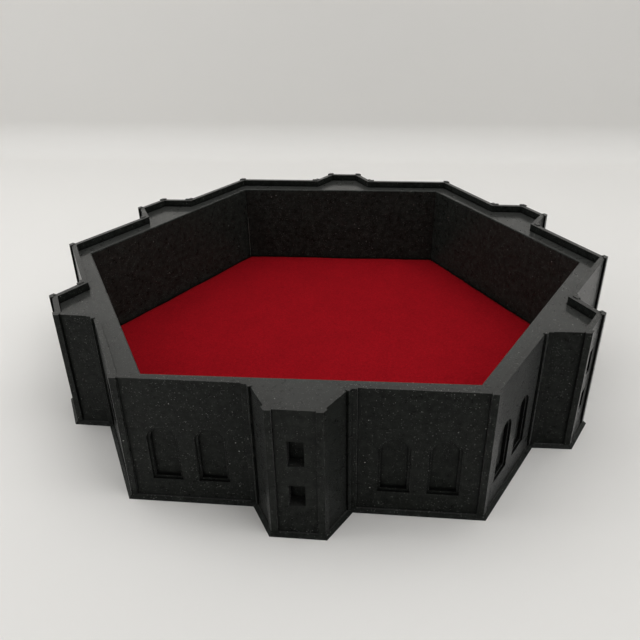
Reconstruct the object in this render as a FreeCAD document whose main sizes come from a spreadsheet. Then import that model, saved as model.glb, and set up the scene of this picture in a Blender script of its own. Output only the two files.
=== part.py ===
import FreeCAD, Part
import os
import Sketcher

# Hexagonal castle dice tray, in millimetres, +Z up.
# A printed castle wall with six bastions carries a lift-out tray by its deck, and the tray
# holds a felt mat on a film of adhesive. Two opposite walls face +Y and -Y.
# Drawings use wall coordinates: u runs along a wall from its middle, v points out of it.

doc = FreeCAD.newDocument("castle_dice_tray")

# Driving dimensions ------------------------------------------------------------------
DIMENSIONS = [
    ("wall_apothem", 100.0, "centre to the outer face of a wall"),
    ("wall_thick", 4.5, "thickness of the castle wall"),
    ("wall_height", 48.2, "underside to the top of the parapet"),
    ("parapet_rise", 3.15, "parapet above the deck"),
    ("parapet_thick", 2.0, "thickness of the parapet"),
    ("bastion_root", 15.3, "half width of a bastion where it leaves the wall"),
    ("bastion_front", 8.0, "half width of a bastion at its front"),
    ("bastion_depth", 12.1, "how far a bastion stands out of the wall"),
    ("strip_width", 2.1, "width of a corner strip on each face"),
    ("strip_proud", 0.9, "how far a corner strip stands out of its wall"),
    ("strip_root", 0.6, "how far a corner strip is sunk into its wall"),
    ("strip_rise", 0.3, "corner strip above the parapet"),
    ("plinth_rise", 1.2, "height of the flared plinth"),
    ("plinth_flare", 2.0, "plinth out of the wall at the underside"),
    ("skirt_rise", 4.5, "height of the slightly battered skirt"),
    ("skirt_flare", 0.48, "skirt out of the wall at the underside"),
    ("window_near", 29.15, "wall middle to the nearer pair of windows"),
    ("window_far", 44.85, "wall middle to the farther pair of windows"),
    ("window_base", 8.2, "underside to the foot of a window"),
    ("window_crown", 29.8, "underside to the crown of a window"),
    ("window_half", 5.15, "half width of a window, and the radius of its head"),
    ("window_border", 0.85, "width of the step round a window"),
    ("window_step", 0.75, "depth of the step"),
    ("window_depth", 1.9, "depth of a window"),
    ("slot_half", 2.5, "half width of an arrow slot"),
    ("slot_depth", 4.0, "depth of an arrow slot"),
    ("low_slot_base", 11.9, "underside to the foot of the lower arrow slot"),
    ("low_slot_head", 19.9, "underside to the head of the lower arrow slot"),
    ("high_slot_base", 27.3, "underside to the foot of the upper arrow slot"),
    ("high_slot_head", 36.8, "underside to the head of the upper arrow slot"),
    ("deck_thick", 2.4, "thickness of the tray's deck"),
    ("deck_gap", 0.25, "clearance between the deck and the parapet"),
    ("basin_apothem", 91.8, "centre to the inner face of the tray"),
    ("basin_wall", 2.0, "thickness of the tray's wall"),
    ("basin_turn", 0.95, "turn of the basin against the castle, degrees"),
    ("basin_lift", 0.5, "table to the underside of the basin"),
    ("basin_floor", 2.5, "thickness of the basin's floor"),
    ("film_inset", 3.0, "adhesive film short of the basin's wall"),
    ("film_thick", 0.1, "thickness of the adhesive film"),
    ("felt_inset", 0.4, "felt short of the basin's wall"),
    ("felt_thick", 1.0, "thickness of the felt"),
]

sheet = doc.addObject("Spreadsheet::Sheet", "dims")
for row, (alias, value, note) in enumerate(DIMENSIONS, start=1):
    sheet.set(f"A{row}", alias)
    sheet.set(f"B{row}", str(value))
    sheet.setAlias(f"B{row}", alias)
    sheet.set(f"C{row}", note)
doc.recompute()

# Expressions shared by several sketches ----------------------------------------------
LEAN = "atan((dims.bastion_root - dims.bastion_front) / dims.bastion_depth)"
MITRE = f"tan(45 deg - {LEAN} / 2)"
WALL = "dims.wall_apothem"
FRONT = "(dims.wall_apothem + dims.bastion_depth)"
DECK_TOP = "(dims.wall_height - dims.parapet_rise)"
SHELF = "(dims.wall_height - dims.parapet_rise - dims.deck_thick)"
FLOOR_TOP = "(dims.basin_lift + dims.basin_floor)"


def new_body(label):
    """An empty body with its own label."""
    body = doc.addObject("PartDesign::Body", label)
    body.Label = label
    return body


def origin_feature(body, role):
    """A plane or an axis of the body's own origin."""
    return next(item for item in body.Origin.OriginFeatures if item.Role == role)


def new_sketch(body, name, role="XY_Plane", offset="0"):
    """A sketch on an origin plane, moved along the plane's normal."""
    sketch = body.newObject("Sketcher::SketchObject", name)
    sketch.AttachmentSupport = [(origin_feature(body, role), "")]
    sketch.MapMode = "FlatFace"
    sketch.setExpression("AttachmentOffset.Base.z", f"({offset}) * 1 mm")
    return sketch


def value_of(expression):
    """The number an expression stands for, as a starting guess for the solver."""
    result = sheet.evalExpression(expression)
    return float(getattr(result, "Value", result))


def pin(sketch, geometry, vertex, x, y):
    """Hold one vertex at the place given by two expressions."""
    for kind, expression in (("DistanceX", x), ("DistanceY", y)):
        where = value_of(expression)
        index = sketch.addConstraint(Sketcher.Constraint(kind, -1, 1, geometry, vertex, where))
        sketch.setExpression(f"Constraints[{index}]", expression)


def add_polygon(sketch, points):
    """A closed polygon through points given as pairs of expressions."""
    corners = [FreeCAD.Vector(value_of(x), value_of(y), 0) for x, y in points]
    count = len(points)
    first = sketch.GeometryCount
    for index in range(count):
        line = Part.LineSegment(corners[index], corners[(index + 1) % count])
        sketch.addGeometry(line, False)
    for index in range(count):
        following = first + (index + 1) % count
        sketch.addConstraint(Sketcher.Constraint("Coincident", first + index, 2, following, 1))
    for index, (x, y) in enumerate(points):
        pin(sketch, first + index, 1, x, y)


def add_hexagon(sketch, apothem, turn="0"):
    """A regular hexagon with two sides square to Y, before it is turned."""
    radius = f"({apothem}) / cos(30 deg)"
    angles = [f"({60 * side} + {turn})" for side in range(6)]
    add_polygon(sketch, [(f"{radius} * cos({a})", f"{radius} * sin({a})") for a in angles])


def on_wall(points, mirrored=False):
    """Wall coordinates of the wall facing -Y, turned into sketch coordinates."""
    sign = "-1" if mirrored else "1"
    return [(f"{sign} * ({u})", f"-1 * ({v})") for u, v in points]


def add_bastion(sketch, offset):
    """A bastion's outline, moved outwards by the offset, with its root inside the wall."""
    root = f"dims.bastion_root + {MITRE} * ({offset})"
    front = f"dims.bastion_front + {MITRE} * ({offset})"
    inner = f"{WALL} + ({offset}) - dims.parapet_thick"
    right = [(root, inner), (root, f"{WALL} + ({offset})"), (front, f"{FRONT} + ({offset})")]
    left = [(f"-1 * ({u})", v) for u, v in reversed(right)]
    add_polygon(sketch, on_wall(right + left))


def pad(body, sketch, name, length, taper=None):
    """Pad a sketch upwards, drawn in by the taper if one is given."""
    feature = body.newObject("PartDesign::Pad", name)
    feature.Profile = sketch
    feature.setExpression("Length", f"({length}) * 1 mm")
    if taper is not None:
        feature.setExpression("TaperAngle", f"-1 * ({taper})")
    sketch.Visibility = False
    return feature


def pocket(body, sketch, name, length):
    """Cut a sketch into the body, against the sketch's normal."""
    feature = body.newObject("PartDesign::Pocket", name)
    feature.Profile = sketch
    feature.setExpression("Length", f"({length}) * 1 mm")
    sketch.Visibility = False
    return feature


def repeat_six(body, name, features):
    """Repeat features on all six walls."""
    pattern = body.newObject("PartDesign::PolarPattern", name)
    pattern.Originals = features
    pattern.Axis = (origin_feature(body, "Z_Axis"), [""])
    pattern.Angle = 360
    pattern.Occurrences = 6
    body.Tip = pattern
    return pattern


def flared_course(body, name, flare, rise, top_flare):
    """A course round the foot of the wall; its bastion part is returned for repeating."""
    taper = f"atan(({flare} - {top_flare}) / ({rise}))"
    sketch = new_sketch(body, f"{name}_wall_outline")
    add_hexagon(sketch, f"{WALL} + {flare}")
    pad(body, sketch, f"{name}_wall", rise, taper)
    sketch = new_sketch(body, f"{name}_bastion_outline")
    add_bastion(sketch, flare)
    return pad(body, sketch, f"{name}_bastion", rise, taper)


def across_corner(point):
    """A point on one wall, mirrored onto the next wall round the corner."""
    u, v = point
    return (f"({v}) * sin(60 deg) - ({u}) / 2", f"({u}) * sin(60 deg) + ({v}) / 2")


def add_strips(sketch):
    """The corner strips of one wall: one wall corner, two roots and two bastion fronts."""
    proud, sunk, width = "dims.strip_proud", "dims.strip_root", "dims.strip_width"
    reach = f"({proud} + {sunk})"
    corner_u = f"({WALL} + {proud}) * tan(30 deg)"
    face = (f"{corner_u} - {width}", f"{WALL} + {proud}")
    inside = (f"{corner_u} - {width}", f"{WALL} - {sunk}")
    corner = [
        (corner_u, f"{WALL} + {proud}"),
        face,
        inside,
        (f"({WALL} - {sunk}) * tan(30 deg)", f"{WALL} - {sunk}"),
        across_corner(inside),
        across_corner(face),
    ]
    cheek_u = f"dims.bastion_root - {width} * sin({LEAN}) + {proud} * cos({LEAN})"
    cheek_v = f"{WALL} + {width} * cos({LEAN}) + {proud} * sin({LEAN})"
    root = [
        (f"dims.bastion_root + {width}", f"{WALL} + {proud}"),
        (f"dims.bastion_root + {MITRE} * {proud}", f"{WALL} + {proud}"),
        (cheek_u, cheek_v),
        (f"{cheek_u} - {reach} * cos({LEAN})", f"{cheek_v} - {reach} * sin({LEAN})"),
        (f"dims.bastion_root - {MITRE} * {sunk}", f"{WALL} - {sunk}"),
        (f"dims.bastion_root + {width}", f"{WALL} - {sunk}"),
    ]
    front_u = f"dims.bastion_front + {MITRE} * {proud}"
    front_v = f"{FRONT} + {proud}"
    back_u = f"{front_u} + {width} * sin({LEAN})"
    back_v = f"{front_v} - {width} * cos({LEAN})"
    front = [
        (front_u, front_v),
        (f"{front_u} - {width}", front_v),
        (f"{front_u} - {width}", f"{FRONT} - {sunk}"),
        (f"dims.bastion_front - {MITRE} * {sunk}", f"{FRONT} - {sunk}"),
        (f"{back_u} - {reach} * cos({LEAN})", f"{back_v} - {reach} * sin({LEAN})"),
        (back_u, back_v),
    ]
    add_polygon(sketch, on_wall(corner))
    for outline in (root, front):
        add_polygon(sketch, on_wall(outline))
        add_polygon(sketch, on_wall(outline, mirrored=True))


def add_arch(sketch, middle, inset):
    """A round-headed window, drawn in by the inset on every side."""
    radius = f"dims.window_half - {inset}"
    base = f"dims.window_base + {inset}"
    spring = "dims.window_crown - dims.window_half"
    u, r, low, high = value_of(middle), value_of(radius), value_of(base), value_of(spring)
    first = sketch.GeometryCount
    bottom_left, bottom_right = FreeCAD.Vector(u - r, low, 0), FreeCAD.Vector(u + r, low, 0)
    top_left, top_right = FreeCAD.Vector(u - r, high, 0), FreeCAD.Vector(u + r, high, 0)
    crown = FreeCAD.Vector(u, high + r, 0)
    sketch.addGeometry(Part.LineSegment(bottom_left, bottom_right), False)
    sketch.addGeometry(Part.LineSegment(bottom_right, top_right), False)
    sketch.addGeometry(Part.Arc(top_right, crown, top_left), False)
    sketch.addGeometry(Part.LineSegment(top_left, bottom_left), False)
    sill, right, head, left = first, first + 1, first + 2, first + 3
    sketch.addConstraint([
        Sketcher.Constraint("Coincident", sill, 2, right, 1),
        Sketcher.Constraint("Coincident", left, 2, sill, 1),
        Sketcher.Constraint("Tangent", right, 2, head, 1),
        Sketcher.Constraint("Tangent", head, 2, left, 1),
        Sketcher.Constraint("Horizontal", sill),
        Sketcher.Constraint("Vertical", right),
    ])
    pin(sketch, head, 3, middle, spring)
    index = sketch.addConstraint(Sketcher.Constraint("Radius", head, r))
    sketch.setExpression(f"Constraints[{index}]", radius)
    index = sketch.addConstraint(Sketcher.Constraint("DistanceY", -1, 1, sill, 1, low))
    sketch.setExpression(f"Constraints[{index}]", base)


def window_cut(body, name, inset, depth):
    """Cut the four blind windows of one wall to a depth."""
    sketch = new_sketch(body, f"{name}_outline", "XZ_Plane", WALL)
    for middle in ("dims.window_near", "dims.window_far"):
        for sign in ("1", "-1"):
            add_arch(sketch, f"{sign} * {middle}", inset)
    return pocket(body, sketch, name, depth)


def slot_cut(body):
    """Cut the two arrow slots in the front of one bastion."""
    sketch = new_sketch(body, "arrow_slot_outline", "XZ_Plane", FRONT)
    for level in ("low_slot", "high_slot"):
        base, head = f"dims.{level}_base", f"dims.{level}_head"
        left, right = "-1 * dims.slot_half", "dims.slot_half"
        add_polygon(sketch, [(left, base), (right, base), (right, head), (left, head)])
    return pocket(body, sketch, "arrow_slots", "dims.slot_depth")


def build_castle_wall_ring():
    """The outer castle wall: open below, with a shelf behind the parapet for the deck."""
    body = new_body("castle_wall_ring")
    sketch = new_sketch(body, "wall_outline")
    add_hexagon(sketch, WALL)
    pad(body, sketch, "wall_block", "dims.wall_height")
    sketch = new_sketch(body, "bastion_outline")
    add_bastion(sketch, "0")
    bastion = pad(body, sketch, "bastion", "dims.wall_height")
    plinth = flared_course(body, "plinth", "dims.plinth_flare", "dims.plinth_rise",
                           "dims.strip_proud")
    skirt = flared_course(body, "skirt", "dims.skirt_flare", "dims.skirt_rise", "0")
    sketch = new_sketch(body, "strip_outlines")
    add_strips(sketch)
    strips = pad(body, sketch, "strips", "dims.wall_height + dims.strip_rise")
    repeat_six(body, "six_bastions", [bastion, plinth, skirt, strips])

    sketch = new_sketch(body, "bore_outline", offset="dims.wall_height")
    add_hexagon(sketch, f"{WALL} - dims.wall_thick")
    pocket(body, sketch, "bore", "dims.wall_height")
    sketch = new_sketch(body, "rebate_outline", offset="dims.wall_height")
    add_hexagon(sketch, f"{WALL} - dims.parapet_thick")
    pocket(body, sketch, "rebate", f"dims.wall_height - {SHELF}")
    sketch = new_sketch(body, "bay_outline", offset="dims.wall_height")
    add_bastion(sketch, "-1 * dims.parapet_thick")
    bay = pocket(body, sketch, "bay", f"dims.wall_height - {SHELF}")
    step = window_cut(body, "window_step", "0", "dims.window_step")
    window = window_cut(body, "window", "dims.window_border", "dims.window_depth")
    slots = slot_cut(body)
    repeat_six(body, "six_cut_walls", [bay, step, window, slots])
    return body


def build_lift_out_tray():
    """The tray: a deck that fills the castle to its parapet, and a basin hung from it."""
    body = new_body("lift_out_tray")
    inset = "-1 * (dims.parapet_thick + dims.deck_gap)"
    sketch = new_sketch(body, "deck_outline", offset=SHELF)
    add_hexagon(sketch, f"{WALL} + {inset}")
    pad(body, sketch, "deck", "dims.deck_thick")
    sketch = new_sketch(body, "lobe_outline", offset=SHELF)
    add_bastion(sketch, inset)
    lobe = pad(body, sketch, "lobe", "dims.deck_thick")
    repeat_six(body, "six_lobes", [lobe])
    sketch = new_sketch(body, "basin_outline", offset="dims.basin_lift")
    add_hexagon(sketch, "dims.basin_apothem + dims.basin_wall", "dims.basin_turn")
    pad(body, sketch, "basin", f"{SHELF} - dims.basin_lift")
    sketch = new_sketch(body, "hollow_outline", offset=DECK_TOP)
    add_hexagon(sketch, "dims.basin_apothem", "dims.basin_turn")
    pocket(body, sketch, "hollow", f"{DECK_TOP} - {FLOOR_TOP}")
    return body


def build_sheet(label, inset, base, thick):
    """A flat hexagonal sheet lying in the basin."""
    body = new_body(label)
    sketch = new_sketch(body, f"{label}_outline", offset=base)
    add_hexagon(sketch, f"dims.basin_apothem - {inset}", "dims.basin_turn")
    pad(body, sketch, f"{label}_pad", thick)
    return body


parts = [
    build_castle_wall_ring(),
    build_lift_out_tray(),
    build_sheet("felt_adhesive", "dims.film_inset", FLOOR_TOP, "dims.film_thick"),
    build_sheet("felt_mat", "dims.felt_inset", f"{FLOOR_TOP} + dims.film_thick",
                "dims.felt_thick"),
]
doc.recompute()

for item in doc.Objects:
    if "Invalid" in item.State or "Error" in item.State:
        raise RuntimeError(f"{item.Label} did not compute: {item.State}")
for part in parts:
    if part.Shape.isNull() or not part.Shape.isValid():
        raise RuntimeError(f"{part.Label} has no valid shape")

os.makedirs("parts", exist_ok=True)
for part in parts:
    part.Shape.exportStep(os.path.join("parts", f"{part.Label}.step"))
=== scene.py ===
import bpy
import bmesh
import math
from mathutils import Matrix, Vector, noise


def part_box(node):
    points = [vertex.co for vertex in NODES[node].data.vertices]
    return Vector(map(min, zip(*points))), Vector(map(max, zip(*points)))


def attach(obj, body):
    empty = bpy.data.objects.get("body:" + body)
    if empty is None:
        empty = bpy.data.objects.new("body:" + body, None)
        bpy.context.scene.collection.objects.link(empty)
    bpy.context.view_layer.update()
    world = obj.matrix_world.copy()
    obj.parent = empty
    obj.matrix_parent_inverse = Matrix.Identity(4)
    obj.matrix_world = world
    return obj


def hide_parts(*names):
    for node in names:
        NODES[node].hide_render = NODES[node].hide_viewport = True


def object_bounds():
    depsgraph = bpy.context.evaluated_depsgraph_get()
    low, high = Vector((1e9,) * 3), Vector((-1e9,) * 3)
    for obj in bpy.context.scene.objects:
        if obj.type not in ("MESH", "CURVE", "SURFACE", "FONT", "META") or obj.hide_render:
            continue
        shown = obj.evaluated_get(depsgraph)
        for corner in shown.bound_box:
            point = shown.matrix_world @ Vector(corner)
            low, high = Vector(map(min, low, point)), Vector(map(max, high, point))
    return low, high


# The castle dice tray's looks: flecked black print, red craft felt, and a pale studio.
# Metres throughout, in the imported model's frame.

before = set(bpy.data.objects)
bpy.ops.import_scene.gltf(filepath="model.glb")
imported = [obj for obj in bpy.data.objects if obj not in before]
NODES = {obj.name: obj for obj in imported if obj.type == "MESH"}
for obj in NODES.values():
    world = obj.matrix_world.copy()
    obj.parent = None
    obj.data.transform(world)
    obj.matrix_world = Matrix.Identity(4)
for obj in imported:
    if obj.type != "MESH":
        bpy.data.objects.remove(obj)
CAD_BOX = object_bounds()
MM = 0.001

# Castle and basin are hexagons, and the basin is turned a little inside the castle.
SIDES = 6
SIDE_TURN = math.radians(60)
BASIN_TURN = math.radians(0.95)

# How far out the castle's faces stand from its middle, square to the nearest wall. The
# plinth reaches furthest, and flares out from the bastions' fronts.
PLINTH_FLARE = 2.0 * MM
BASTION_DEPTH = 12.1 * MM
BASTION_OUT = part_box("castle_wall_ring")[1][1] - PLINTH_FLARE
WALL_OUT = BASTION_OUT - BASTION_DEPTH

# The printer's layer height, and the width of one path of its nozzle.
LAYER = 0.2 * MM
PATH = 0.42 * MM


# Node helpers ------------------------------------------------------------------------
class Shader:
    """A small builder for one material's nodes."""

    def __init__(self, name):
        self.material = bpy.data.materials.new(name)
        self.material.use_nodes = True
        self.tree = self.material.node_tree
        self.tree.nodes.clear()
        self.output = self.tree.nodes.new("ShaderNodeOutputMaterial")
        self.place = self.node("ShaderNodeTexCoord").outputs["Object"]

    def node(self, kind, inputs=None, **settings):
        """A node with its settings; an input is a number, a colour or another socket."""
        node = self.tree.nodes.new(kind)
        for key, value in settings.items():
            setattr(node, key, value)
        for key, value in (inputs or {}).items():
            if isinstance(value, bpy.types.NodeSocket):
                self.tree.links.new(value, node.inputs[key])
            else:
                node.inputs[key].default_value = value
        return node

    def math(self, operation, *values):
        """One number worked out from up to three others."""
        return self.node("ShaderNodeMath", dict(enumerate(values)), operation=operation).outputs[0]

    def product(self, *values):
        """Numbers multiplied together."""
        result = values[0]
        for value in values[1:]:
            result = self.math("MULTIPLY", result, value)
        return result

    def ramp(self, value, low, high, to_low=0.0, to_high=1.0):
        """A number mapped smoothly from one range to another, and held there."""
        node = self.node(
            "ShaderNodeMapRange",
            {"Value": value, "From Min": low, "From Max": high,
             "To Min": to_low, "To Max": to_high},
            interpolation_type="SMOOTHSTEP", clamp=True)
        return node.outputs["Result"]

    def blend(self, factor, a, b):
        """Two colours mixed by a factor."""
        node = self.node("ShaderNodeMix", data_type="RGBA")
        for socket, value in ((node.inputs[0], factor), (node.inputs[6], a), (node.inputs[7], b)):
            if isinstance(value, bpy.types.NodeSocket):
                self.tree.links.new(value, socket)
            else:
                socket.default_value = value
        return node.outputs[2]

    def noise(self, vector, scale, detail=2.0, roughness=0.5):
        """Fractal noise over a vector."""
        node = self.node("ShaderNodeTexNoise",
                         {"Vector": vector, "Scale": scale, "Detail": detail,
                          "Roughness": roughness})
        return node.outputs[0]

    def stretched_noise(self, vector, scales, detail, roughness):
        """Fractal noise with a scale of its own along each axis."""
        node = self.node("ShaderNodeVectorMath", {0: vector, 1: scales}, operation="MULTIPLY")
        return self.noise(node.outputs[0], 1.0, detail, roughness)

    def bump(self, height, strength, distance):
        """A normal roughened by a height."""
        return self.node("ShaderNodeBump", {"Height": height, "Strength": strength,
                                            "Distance": distance}).outputs[0]

    def finish(self, inputs):
        """Give the surface its shader, and return the material."""
        shader = self.node("ShaderNodeBsdfPrincipled", inputs)
        self.tree.links.new(shader.outputs[0], self.output.inputs["Surface"])
        return self.material


# Black print -------------------------------------------------------------------------
# Linear colours over the print's own shade: real dust and wear, painted highlights and glints, and
# painted shade.
TOP_FACE_PAINTED_LIGHT = (0.030, 0.0303, 0.0287, 1.0)
RUBBED_AND_HIGHLIT = (0.085, 0.088, 0.082, 1.0)
PAINTED_RECESS_SHADE = (0.0012, 0.0014, 0.0012, 1.0)
PAINTED_NOOK_SHADE = (0.0010, 0.0012, 0.0010, 1.0)
DUST = (0.45, 0.46, 0.43, 1.0)
GLINT = (0.60, 0.61, 0.58, 1.0)


class Print(Shader):
    """A print's material, which knows where its surface lies and which way it faces."""

    def __init__(self, name):
        super().__init__(name)
        geometry = self.node("ShaderNodeNewGeometry")
        facing = self.node("ShaderNodeSeparateXYZ", {0: geometry.outputs["True Normal"]})
        parts = self.node("ShaderNodeSeparateXYZ", {0: self.place})
        self.x, self.y, self.z = parts.outputs[0], parts.outputs[1], parts.outputs[2]
        self.azimuth = self.math("ARCTAN2", facing.outputs[1], facing.outputs[0])
        self.tilt = self.math("ABSOLUTE", facing.outputs[2])
        self.pointiness = geometry.outputs["Pointiness"]
        self.cloud = self.noise(self.place, 55.0, 4.0, 0.6)
        self.mottle = self.noise(self.place, 430.0, 3.0, 0.7)
        self.band = self.stretched_noise(self.place, (6.0, 6.0, 900.0), 3.0, 0.65)
        self.flat = self.ramp(self.tilt, 0.72, 0.95)
        self.recess, sill = self.recesses()
        self.level = self.math("SUBTRACT", self.flat, sill)
        self.upright = self.math("SUBTRACT", 1.0, self.level)

    def turns(self, count, low, high):
        """A mask from a cosine that is 1 at every count-th part of a turn, and -1 midway."""
        return self.ramp(self.math("COSINE", self.product(self.azimuth, count)), low, high)

    def recesses(self):
        """Masks of the painted shade on the sides and sills of the windows and slots, and of the
        sills alone.
        """
        # The sides stand square to the walls, and are cut into them: into the wall itself,
        # or into a bastion's front, which stands further out.
        side = self.product(self.turns(6, 0.6, 0.95), self.math("SUBTRACT", 1.0, self.flat))
        out = self.math("ABSOLUTE", self.y)
        for facing in (math.radians(30), math.radians(150)):
            turned = self.math("MULTIPLY_ADD", self.x, math.cos(facing),
                               self.product(self.y, math.sin(facing)))
            out = self.math("MAXIMUM", out, self.math("ABSOLUTE", turned))
        in_wall = self.math("LESS_THAN", out, WALL_OUT)
        in_bastion = self.product(self.math("GREATER_THAN", out, WALL_OUT + 4 * MM),
                                  self.math("LESS_THAN", out, BASTION_OUT))
        side = self.product(side, self.math("MAXIMUM", in_wall, in_bastion))
        # A window's sill is level, but it lies deep in the wall, and gets the same painted shade as
        # its sides, not the level faces' painted light.
        sill = self.product(self.flat, in_wall, self.ramp(self.z, 40 * MM, 36 * MM))
        return self.math("MAXIMUM", side, sill), sill

    def rubbed_and_highlit_edges(self):
        """A mask of the rounded outward edges, rubbed and shiny in patches; their lighter colour is
        partly real wear and partly a painted highlight.
        """
        # Every upright wall faces within about a degree of a multiple of 30 degrees, so a
        # facing well between two of them is an edge.
        corner = self.product(self.turns(12, 0.3, -0.5), self.math("SUBTRACT", 1.0, self.flat))
        # A facing between level and upright is an edge too, above the plinth's slope.
        brink = self.product(self.ramp(self.tilt, 0.12, 0.30), self.ramp(self.tilt, 0.97, 0.80),
                             self.ramp(self.z, 2 * MM, 5 * MM))
        return self.product(self.math("MAXIMUM", corner, brink),
                            self.ramp(self.pointiness, 0.505, 0.56),
                            self.ramp(self.mottle, 0.38, 0.58, 0.15, 1.0))

    def painted_nook_shade(self):
        """A mask of painted shade beside the strips and borders, where little light reaches."""
        open_air = self.node("ShaderNodeAmbientOcclusion", {"Distance": 1.6 * MM}, samples=6)
        return self.product(self.ramp(open_air.outputs["AO"], 0.92, 0.45), self.upright)

    def relief(self):
        """Layer lines round the walls, and the last layer's diagonal paths on level faces."""
        layers = self.math("SINE", self.product(self.z, 2 * math.pi / LAYER))
        wobble = self.stretched_noise(self.place, (60.0, 60.0, 2600.0), 2.0, 0.6)
        walls = self.math("ADD", self.product(layers, 0.9), self.product(wobble, 0.35))
        diagonal = self.math("ADD", self.product(self.x, math.sqrt(0.5)),
                             self.product(self.y, math.sqrt(0.5)))
        paths = self.math("SINE", self.product(diagonal, 2 * math.pi / PATH))
        tops = self.product(paths, 0.10)
        grain = self.product(self.noise(self.place, 2400.0, 3.0, 0.6),
                             self.math("MULTIPLY_ADD", self.level, -0.75, 0.9))
        both = self.math("ADD", self.product(walls, self.upright), self.product(tops, self.level))
        return self.math("ADD", both, grain)

    def flakes(self, scale, rarity, small, large):
        """A mask of flakes: some cells hold a speck of their own size and brightness."""
        cells = self.node("ShaderNodeTexVoronoi",
                          {"Vector": self.place, "Scale": scale, "Randomness": 1.0},
                          voronoi_dimensions="3D", feature="F1")
        chance = self.node("ShaderNodeSeparateColor", {0: cells.outputs["Color"]})
        chosen = self.math("GREATER_THAN", chance.outputs[0], rarity)
        size = self.math("MULTIPLY_ADD", chance.outputs[1], large - small, small)
        speck = self.math("LESS_THAN", cells.outputs["Distance"], size)
        bright = self.math("MULTIPLY_ADD", self.math("POWER", chance.outputs[2], 2.0), 0.9, 0.1)
        return self.product(chosen, speck, bright)

    def colour(self, shade, edges):
        """The print's shade, clouded and mottled, then its marks, each over the last: dust and
        flakes, painted light on level faces, edges and glints, and painted shade in recesses and
        nooks.
        """
        deep, full, worn = (tuple(factor * part for part in shade) + (1.0,)
                            for factor in (0.45, 1.0, 2.8))
        result = self.blend(self.cloud, deep, full)
        for mask, strength, mark in (
                (self.ramp(self.mottle, 0.42, 0.68), 0.5, worn),
                (self.ramp(self.band, 0.35, 0.7), 0.12, worn),
                # Painted light: level faces are lighter than the walls of the same filament, for
                # the light they catch from above.
                (self.level, 0.7, TOP_FACE_PAINTED_LIGHT),
                # Lighter edges: partly real wear, partly a painted highlight along the rounded
                # corners.
                (edges, 0.8, RUBBED_AND_HIGHLIT),
                (self.flakes(2300.0, 0.62, 0.16, 0.34), 0.33, DUST),
                # Real flakes, with their glints painted in as a bright colour.
                (self.flakes(1150.0, 0.962, 0.10, 0.22), 0.75, GLINT),
                # Painted shade on the sides and sills of the windows and slots.
                (self.recess, 0.85, PAINTED_RECESS_SHADE),
                # Painted shade in the nooks that ambient occlusion finds.
                (self.painted_nook_shade(), 0.9, PAINTED_NOOK_SHADE)):
            result = self.blend(self.product(mask, strength), result, mark)
        return result

    def shine(self, polish, edges):
        """How strong the coat is: on level faces, on rubbed edges, and along the walls."""
        # The layers lie so flat that a wall seen along its length shines like a polished one.
        grazing = self.node("ShaderNodeLayerWeight", {"Blend": 0.5}).outputs["Facing"]
        along_wall = self.product(self.ramp(grazing, 0.55, 0.95), self.upright, 0.15)
        faces = self.math("MAXIMUM", self.product(self.level, polish), self.product(edges, 0.8))
        return self.math("MAXIMUM", faces, along_wall)


def printed_black(name, shade, gloss, polish):
    """Black printed filament: layer lines on the walls, diagonal paths on top, pale flecks, with
    painted light on level faces and edges and painted shade in recesses and nooks.
    """
    s = Print(name)
    edges = s.rubbed_and_highlit_edges()
    rough = s.math("MULTIPLY_ADD", s.mottle, 0.20, s.math("MULTIPLY_ADD", s.recess, 0.5, 0.20))
    return s.finish({
        "Base Color": s.colour(shade, edges), "Roughness": rough, "Specular IOR Level": gloss,
        "Coat Weight": s.shine(polish, edges), "Coat Roughness": 0.12,
        "Sheen Weight": 0.10, "Sheen Roughness": 0.25,
        "Normal": s.bump(s.relief(), 0.5, 0.03 * MM)})


# Other materials ---------------------------------------------------------------------
def red_felt(name):
    """Pressed craft felt: matted fibres, thin and thick patches, a soft sheen."""
    s = Shader(name)
    # The fibres run both ways, and wander a little.
    warp = s.node("ShaderNodeTexNoise", {"Vector": s.place, "Scale": 900.0, "Detail": 2.0})
    drift = s.node("ShaderNodeVectorMath", {0: warp.outputs["Color"], 1: (1.6 * MM,) * 3},
                   operation="MULTIPLY")
    bent = s.node("ShaderNodeVectorMath", {0: drift.outputs[0], 1: s.place},
                  operation="ADD").outputs[0]
    hairs = s.stretched_noise(bent, (900.0, 3200.0, 1500.0), 3.0, 0.7)
    cross = s.stretched_noise(bent, (3200.0, 900.0, 1500.0), 3.0, 0.7)
    mat = s.math("MAXIMUM", hairs, cross)
    patch = s.noise(s.place, 70.0, 4.0, 0.6)
    tone = s.math("ADD", s.product(mat, 0.95), s.product(patch, 0.12))
    colour = s.blend(s.ramp(tone, 0.35, 0.85),
                     (0.150, 0.0020, 0.0045, 1.0), (0.330, 0.0050, 0.0105, 1.0))
    relief = s.math("ADD", mat, s.product(patch, 0.3))
    return s.finish({
        "Base Color": colour, "Roughness": 0.95, "Specular IOR Level": 0.03,
        "Sheen Weight": 0.06, "Sheen Roughness": 0.5, "Sheen Tint": (0.9, 0.08, 0.08, 1.0),
        "Normal": s.bump(relief, 0.7, 0.25 * MM)})


def clear_film(name):
    """Double-sided film: slightly milky and finely rippled."""
    s = Shader(name)
    ripple = s.noise(s.place, 180.0, 3.0)
    colour = s.blend(ripple, (0.62, 0.61, 0.57, 1.0), (0.78, 0.77, 0.73, 1.0))
    return s.finish({
        "Base Color": colour, "Roughness": s.math("MULTIPLY_ADD", ripple, 0.2, 0.15),
        "Normal": s.bump(ripple, 0.2, 0.1 * MM)})


def studio_paper(name):
    """Pale matt paper for the floor and the backdrop."""
    s = Shader(name)
    colour = s.blend(s.noise(s.place, 3.0, 3.0), (0.70, 0.69, 0.67, 1.0), (0.73, 0.72, 0.70, 1.0))
    return s.finish({"Base Color": colour, "Roughness": 0.75, "Specular IOR Level": 0.2})


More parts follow.
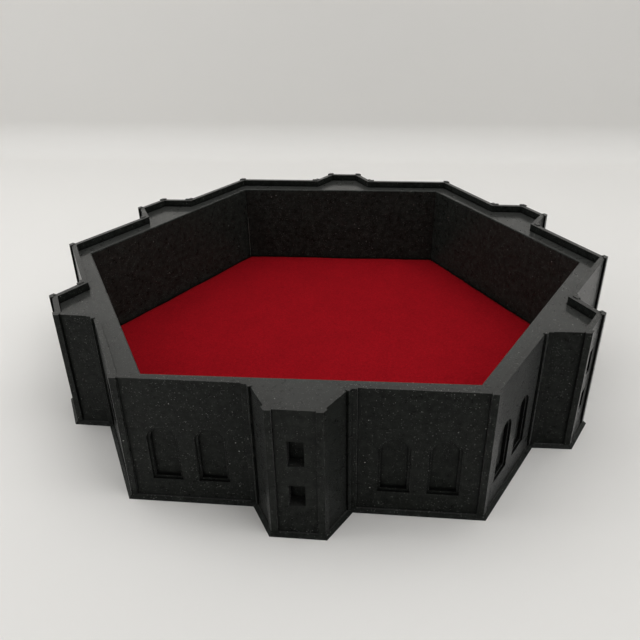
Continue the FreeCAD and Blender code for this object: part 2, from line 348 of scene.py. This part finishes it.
# Shapes ------------------------------------------------------------------------------
def outward(turn):
    """The level direction at an angle from the X axis."""
    return Vector((math.cos(turn), math.sin(turn), 0))


def new_object(name, mesh, material):
    """An object for a mesh, smooth all over, with one material."""
    mesh.polygons.foreach_set("use_smooth", [True] * len(mesh.polygons))
    mesh.materials.append(material)
    obj = bpy.data.objects.new(name, mesh)
    bpy.context.scene.collection.objects.link(obj)
    return obj


def new_mesh(name, build):
    """A mesh from a bmesh, which is freed."""
    mesh = bpy.data.meshes.new(name)
    build.normal_update()
    build.to_mesh(mesh)
    build.free()
    return mesh


# Printed parts -----------------------------------------------------------------------
def soften(obj, name, width, segments, group=None):
    """A rounded bevel on the sharp edges, or on the edges of a vertex group."""
    bevel = obj.modifiers.new(name, "BEVEL")
    bevel.width = width
    bevel.segments = segments
    if group:
        bevel.limit_method = "VGROUP"
        bevel.vertex_group = group.name
    else:
        bevel.limit_method = "ANGLE"
        bevel.angle_limit = math.radians(25)


def dress(node, material, edge):
    """Give a CAD node its material, and soften its edges as a nozzle does."""
    obj = NODES[node]
    for slot in obj.material_slots:
        slot.material = material
    weld = obj.modifiers.new("weld", "WELD")
    weld.merge_threshold = 0.002 * MM
    soften(obj, "nozzle_edge", edge, 3)
    normals = obj.modifiers.new("face_normals", "WEIGHTED_NORMAL")
    normals.weight = 100
    for polygon in obj.data.polygons:
        polygon.use_smooth = True
    return obj


def reach(point):
    """How far out a point is, square to the basin's nearest side."""
    facings = (BASIN_TURN + SIDE_TURN * (side + 0.5) for side in range(SIDES))
    return max(point.dot(outward(facing)) for facing in facings)


def round_rim(obj, width):
    """Round the edge where the deck turns down into the basin more than the others."""
    deck_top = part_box("lift_out_tray")[1][2]
    top = [vertex for vertex in obj.data.vertices if vertex.co.z > deck_top - 0.01 * MM]
    opening = min(reach(vertex.co) for vertex in top)
    rim = [vertex.index for vertex in top if reach(vertex.co) < opening + 0.02 * MM]
    group = obj.vertex_groups.new(name="rim")
    group.add(rim, 1.0, "REPLACE")
    soften(obj, "rim_round", width, 4, group)
    # The rim is rounded first, straight after the weld.
    obj.modifiers.move(len(obj.modifiers) - 1, 1)
    # The bevel leaves small negative weights, which would make the mesh invalid.
    clean = obj.modifiers.new("rim_weights", "VERTEX_WEIGHT_EDIT")
    clean.vertex_group = group.name
    clean.use_remove = True
    return opening


def seam_bead(opening, material):
    """The printer's seam: a fine bead up one inner corner of the basin, part of the way."""
    foot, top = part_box("felt_mat")[1][2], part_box("lift_out_tray")[1][2]
    share_of_height = 0.61
    layers = int(share_of_height * (top - foot) / LAYER)
    out = outward(BASIN_TURN + 2 * SIDE_TURN)
    along = Vector((-out.y, out.x, 0))
    corner = opening / math.cos(SIDE_TURN / 2)
    middle = out * (corner - 0.45 * MM) + along * 0.10 * MM
    round_points = 8
    build = bmesh.new()
    previous = None
    for layer in range(layers + 1):
        height = foot + layer * LAYER
        thick = 0.30 * MM + 0.10 * MM * noise.noise(Vector((3.1, 0.0, height * 900)))
        thick *= min(1.0, (layers - layer) / 6 + 0.25)
        ring = []
        for step in range(round_points):
            turn = math.tau * step / round_points
            spot = middle + out * thick * math.cos(turn) + along * thick * math.sin(turn)
            ring.append(build.verts.new((spot.x, spot.y, height)))
        if previous:
            for step in range(round_points):
                after = (step + 1) % round_points
                build.faces.new((previous[step], previous[after], ring[after], ring[step]))
        else:
            build.faces.new(ring[::-1])
        previous = ring
    build.faces.new(previous)
    bead = new_object("seam_bead", new_mesh("seam_bead", build), material)
    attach(bead, "tray")
    return bead


dress("castle_wall_ring",
      printed_black("castle_black_print", shade=(0.0074, 0.0085, 0.0073), gloss=0.08, polish=0.42),
      edge=0.25 * MM)
# The tray's shade is lighter and greener than the castle's: painted light that brightens the
# basin's walls and cancels the red that the felt throws on them.
tray = dress(
    "lift_out_tray",
    printed_black("tray_black_print", shade=(0.0105, 0.0130, 0.0114), gloss=0.10, polish=0.45),
    edge=0.14 * MM)
# The bead's shade is far lighter than the tray's: a painted highlight, the light line that a
# rounded seam catches.
bead = seam_bead(
    round_rim(tray, 0.6 * MM),
    printed_black("seam_black_print", shade=(0.050, 0.062, 0.054), gloss=0.10, polish=0.2))
NODES["felt_adhesive"].material_slots[0].material = clear_film("clear_film")


# Felt --------------------------------------------------------------------------------
FELT_RINGS = 72


def felt_edge(radius, side, part):
    """A point on the cut edge, part of the way along one side. The cut wanders."""
    start = BASIN_TURN + SIDE_TURN * side
    a, b = outward(start) * radius, outward(start + SIDE_TURN) * radius
    point = a.lerp(b, part)
    drift = noise.fractal(Vector((point.x * 40, point.y * 40, 7.3)), 0.6, 2.0, 4)
    # The corners are where they should be: the drift fades near them.
    fade = min(1.0, min(part, 1 - part) * 12)
    inward = -((a + b) / 2).normalized()
    return point + inward * (0.2 * MM + 0.6 * MM * drift * fade)


def felt_rise(spot, ring):
    """How far the felt's top stands off level: a little everywhere, and pressed at the edge."""
    puff = 0.06 * MM * noise.fractal(Vector((spot.x * 90, spot.y * 90, 1.7)), 0.7, 2.0, 4)
    return puff - 0.18 * MM if ring == FELT_RINGS else puff


def felt_layer(build, radius, height, uneven):
    """One face's vertices, by ring from the middle out, side, and step along the side."""
    middle = build.verts.new((0, 0, height))
    grid = {(0, side, 0): middle for side in range(SIDES)}
    for ring in range(1, FELT_RINGS + 1):
        for side in range(SIDES):
            for step in range(ring):
                spot = felt_edge(radius, side, step / ring) * (ring / FELT_RINGS)
                rise = felt_rise(spot, ring) if uneven else 0.0
                grid[ring, side, step] = build.verts.new((spot.x, spot.y, height + rise))
        # Each side ends where the next one starts.
        for side in range(SIDES):
            grid[ring, side, ring] = grid[ring, (side + 1) % SIDES, 0]
    return grid


def felt_faces(build, grid, order):
    """Triangles from each ring to the next, wound forwards (1) or backwards (-1)."""
    for ring in range(1, FELT_RINGS + 1):
        for side in range(SIDES):
            for step in range(ring):
                inner = grid[ring - 1, side, step]
                near, far = grid[ring, side, step], grid[ring, side, step + 1]
                build.faces.new([inner, near, far][::order])
                if step < ring - 1:
                    build.faces.new([inner, far, grid[ring - 1, side, step + 1]][::order])


def felt_mat():
    """The felt hexagon as a grid with a cut edge that wanders, 1 mm thick."""
    low, high = (Vector(corner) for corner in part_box("felt_mat"))
    # Half the X extent of a hexagon turned a little is its corner radius times cos(turn).
    radius = (high.x - low.x) / 2 / math.cos(BASIN_TURN)
    build = bmesh.new()
    top = felt_layer(build, radius, high.z, uneven=True)
    bottom = felt_layer(build, radius, low.z, uneven=False)
    felt_faces(build, top, 1)
    felt_faces(build, bottom, -1)
    for side in range(SIDES):
        for step in range(FELT_RINGS):
            here, after = (FELT_RINGS, side, step), (FELT_RINGS, side, step + 1)
            build.faces.new((top[here], bottom[here], bottom[after], top[after]))
    cloth = new_object("felt_cloth", new_mesh("felt_mat_cloth", build), red_felt("red_craft_felt"))
    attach(cloth, "tray")
    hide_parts("felt_mat")
    return cloth


felt = felt_mat()


# Studio ------------------------------------------------------------------------------
def backdrop():
    """A sheet of paper: a flat floor that sweeps up into a wall close behind."""
    floor_z = CAD_BOX[0][2]
    front, half_width, wall_top = -1.5, 1.6, 1.2
    sweep_start, sweep_radius, sweep_steps = 0.30, 0.03, 24
    profile = [(front, 0.0), (sweep_start, 0.0)]
    for step in range(1, sweep_steps + 1):
        turn = math.radians(90 * step / sweep_steps)
        profile.append((sweep_start + sweep_radius * math.sin(turn),
                        sweep_radius - sweep_radius * math.cos(turn)))
    profile.append((sweep_start + sweep_radius, wall_top))
    mesh = bpy.data.meshes.new("studio_floor")
    verts = [(x, y, floor_z + z) for y, z in profile for x in (-half_width, half_width)]
    faces = [(2 * i, 2 * i + 1, 2 * i + 3, 2 * i + 2) for i in range(len(profile) - 1)]
    mesh.from_pydata(verts, [], faces)
    floor = new_object("studio_floor", mesh, studio_paper("studio_paper"))


def area_light(name, place, target, size, power):
    """A soft white rectangular light aimed at a point."""
    lamp = bpy.data.lights.new(name, "AREA")
    lamp.shape = "RECTANGLE"
    lamp.size, lamp.size_y = size
    lamp.energy = power
    obj = bpy.data.objects.new(name, lamp)
    bpy.context.scene.collection.objects.link(obj)
    obj.location = place
    obj.rotation_euler = (Vector(target) - Vector(place)).to_track_quat("-Z", "Y").to_euler()
    obj.visible_camera = False
    return obj


def light_only(lamp, pieces):
    """Keep a light that is close to the floor from making a bright spot on it."""
    lit = bpy.data.collections.new(f"{lamp.name}_lights")
    for piece in pieces:
        lit.objects.link(piece)
    lamp.light_linking.receiver_collection = lit


def camera():
    """The camera, a little right of the front, looking 28 degrees down."""
    data = bpy.data.cameras.new("camera")
    data.sensor_width = 36
    data.lens = 36.49
    data.shift_x = 0.0020
    data.shift_y = -0.0268
    data.clip_start = 0.01
    obj = bpy.data.objects.new("camera", data)
    bpy.context.scene.collection.objects.link(obj)
    obj.location = (0.02342, -0.25657, 0.15984)
    obj.rotation_euler = [math.radians(angle) for angle in (61.989, 1.003, 5.667)]
    bpy.context.scene.camera = obj


def studio_air():
    """Soft light from all round, dimmer from the front, where the photographer stands."""
    world = bpy.data.worlds.new("studio_air")
    world.use_nodes = True
    nodes, links = world.node_tree.nodes, world.node_tree.links
    where = nodes.new("ShaderNodeTexCoord")
    split = nodes.new("ShaderNodeSeparateXYZ")
    fade = nodes.new("ShaderNodeMapRange")
    for name, value in (("From Min", -0.75), ("From Max", 0.1), ("To Min", 0.36), ("To Max", 0.58)):
        fade.inputs[name].default_value = value
    links.new(where.outputs["Generated"], split.inputs[0])
    links.new(split.outputs[1], fade.inputs["Value"])
    links.new(fade.outputs["Result"], nodes["Background"].inputs["Strength"])
    nodes["Background"].inputs["Color"].default_value = (1.0, 0.995, 0.98, 1.0)
    bpy.context.scene.world = world


backdrop()
camera()
studio_air()
area_light("overhead", (0.0, 0.36, 0.85), target=(0, 0.05, 0), size=(1.2, 0.7), power=4.1)
area_light("wall_wash", (0.0, -0.10, 0.75), target=(0, 0.355, 0.25), size=(1.4, 0.2), power=1.25)
area_light("key", (0.42, -0.20, 0.75), target=(0, 0, 0), size=(0.5, 0.5), power=1.9)
area_light("left_fill", (-0.50, -0.05, 0.35), target=(-0.15, 0, 0), size=(0.4, 0.4), power=0.8)
bounce = area_light("floor_bounce", (-0.30, -0.55, 0.03), target=(-0.05, -0.1, 0.01),
                    size=(0.5, 0.06), power=0.30)
light_only(bounce, [NODES["castle_wall_ring"], NODES["lift_out_tray"], bead, felt])

bpy.context.scene.view_settings.view_transform = "Standard"
bpy.context.scene.view_settings.look = "None"
